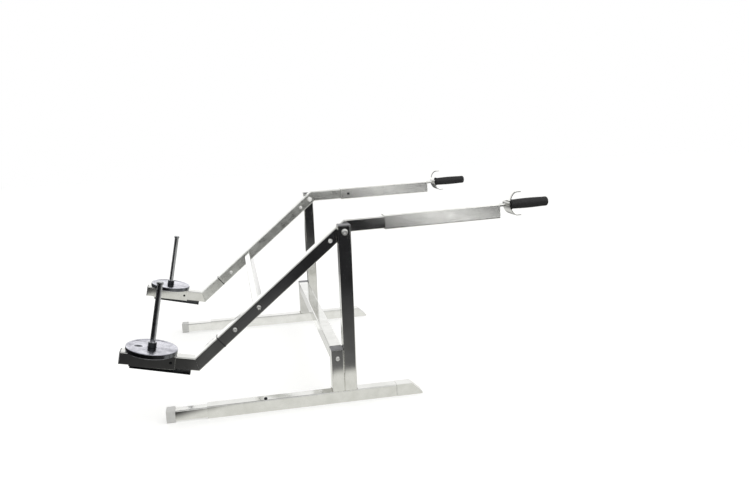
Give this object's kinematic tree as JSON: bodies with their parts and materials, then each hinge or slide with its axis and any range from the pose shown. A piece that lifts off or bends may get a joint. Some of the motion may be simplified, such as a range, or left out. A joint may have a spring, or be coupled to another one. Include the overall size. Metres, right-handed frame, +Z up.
{
  "type": "arm and shoulder exerciser",
  "caption": "Free-weight lever machine for arms and shoulders: a low steel floor frame, a pivoting double arm with grips behind and disc weights on pins in front.",
  "frame": {"origin": "on the floor, under the middle of the part's box, halfway between the two side frames", "axes": "+Z up, +Y from the grips towards the weight plates, +X to the right of someone who sits at the grips and faces the weights"},
  "size_m": [0.9538, 1.3531, 0.6204],
  "materials": {
    "steel_tube": "polished square steel tube",
    "satin_steel": "satin brushed square steel sleeve",
    "dark_steel": "dark polished steel",
    "bright_steel": "bright polished steel strip",
    "machined_iron": "machined face, polished rim",
    "plated_bolt": "zinc-plated",
    "black_screw": "black oxide",
    "bronze": "sintered bronze",
    "grey_plastic": "moulded, fine grain",
    "grip_rubber": "matt moulded rubber"
  },
  "bodies": {
    "frame": {"rail_left": "steel_tube", "rail_right": "steel_tube", "rear_foot_left": "steel_tube", "rear_foot_right": "steel_tube", "rail_lock_screw_left": "black_screw", "rail_lock_screw_right": "black_screw", "upright_left": "steel_tube", "upright_right": "steel_tube", "upright_cap_left": "grey_plastic", "upright_cap_right": "grey_plastic", "stub_left": "steel_tube", "stub_right": "steel_tube", "stub_cap_left": "grey_plastic", "stub_cap_right": "grey_plastic", "cross_bolt_left": "plated_bolt", "cross_bolt_right": "plated_bolt", "pivot_bolt_left": "plated_bolt", "pivot_bolt_right": "plated_bolt", "pivot_nut_left": "plated_bolt", "pivot_nut_right": "plated_bolt", "cross_tube": "steel_tube"},
    "lever": {"lever_tube_left": "steel_tube", "lever_tube_right": "steel_tube", "pivot_bush_left": "bronze", "pivot_bush_right": "bronze", "arm_bolt_left": "plated_bolt", "arm_bolt_right": "plated_bolt", "lock_bolt_left": "plated_bolt", "lock_bolt_right": "plated_bolt", "tie_bolt_left": "plated_bolt", "tie_bolt_right": "plated_bolt", "arm_spigot_left": "steel_tube", "arm_spigot_right": "steel_tube", "front_tube_left": "steel_tube", "front_tube_right": "steel_tube", "front_plug_left": "grey_plastic", "front_plug_right": "grey_plastic", "tie_bar": "steel_tube"},
    "rail_extension_left": {"rail_extension_left": "steel_tube", "front_foot_left": "grey_plastic"},
    "carriage_left": {"carriage_left": "steel_tube", "carriage_screw_left": "black_screw", "skid_left": "dark_steel", "weight_pin_left": "dark_steel"},
    "plate_left": {"weight_plate_left": "machined_iron"},
    "handle_left": {"handle_sleeve_left": "satin_steel", "handle_screw_left": "black_screw", "hand_guard_left": "bright_steel", "grip_left": "grip_rubber"},
    "rail_extension_right": {"rail_extension_right": "steel_tube", "front_foot_right": "grey_plastic"},
    "carriage_right": {"carriage_right": "steel_tube", "carriage_screw_right": "black_screw", "skid_right": "dark_steel", "weight_pin_right": "dark_steel"},
    "plate_right": {"weight_plate_right": "machined_iron"},
    "handle_right": {"handle_sleeve_right": "satin_steel", "handle_screw_right": "black_screw", "hand_guard_right": "bright_steel", "grip_right": "grip_rubber"}
  },
  "joints": [
    {"name": "lever_swing", "type": "hinge", "parent": "frame", "child": "lever", "pos_m": [0, -0.0021, 0.5341], "axis": [1, 0, 0], "range_deg": [-16, 35]},
    {"name": "rail_extension_left_slide", "type": "slide", "parent": "frame", "child": "rail_extension_left", "axis": [0, 1, 0], "range_m": [-0.09, 0.05]},
    {"name": "carriage_left_slide", "type": "slide", "parent": "lever", "child": "carriage_left", "axis": [0, 0.9785, 0.2062], "range_m": [-0.045, 0.022]},
    {"name": "plate_left_lift", "type": "slide", "parent": "carriage_left", "child": "plate_left", "axis": [0, -0.2062, 0.9785], "range_m": [0, 0.22]},
    {"name": "handle_left_slide", "type": "slide", "parent": "lever", "child": "handle_left", "axis": [0, -0.9996, 0.0279], "range_m": [-0.08, 0.12]},
    {"name": "rail_extension_right_slide", "type": "slide", "parent": "frame", "child": "rail_extension_right", "axis": [0, 1, 0], "range_m": [-0.09, 0.05]},
    {"name": "carriage_right_slide", "type": "slide", "parent": "lever", "child": "carriage_right", "axis": [0, 0.9785, 0.2062], "range_m": [-0.045, 0.022]},
    {"name": "plate_right_lift", "type": "slide", "parent": "carriage_right", "child": "plate_right", "axis": [0, -0.2062, 0.9785], "range_m": [0, 0.22]},
    {"name": "handle_right_slide", "type": "slide", "parent": "lever", "child": "handle_right", "axis": [0, -0.9996, 0.0279], "range_m": [-0.08, 0.12]}
  ]
}
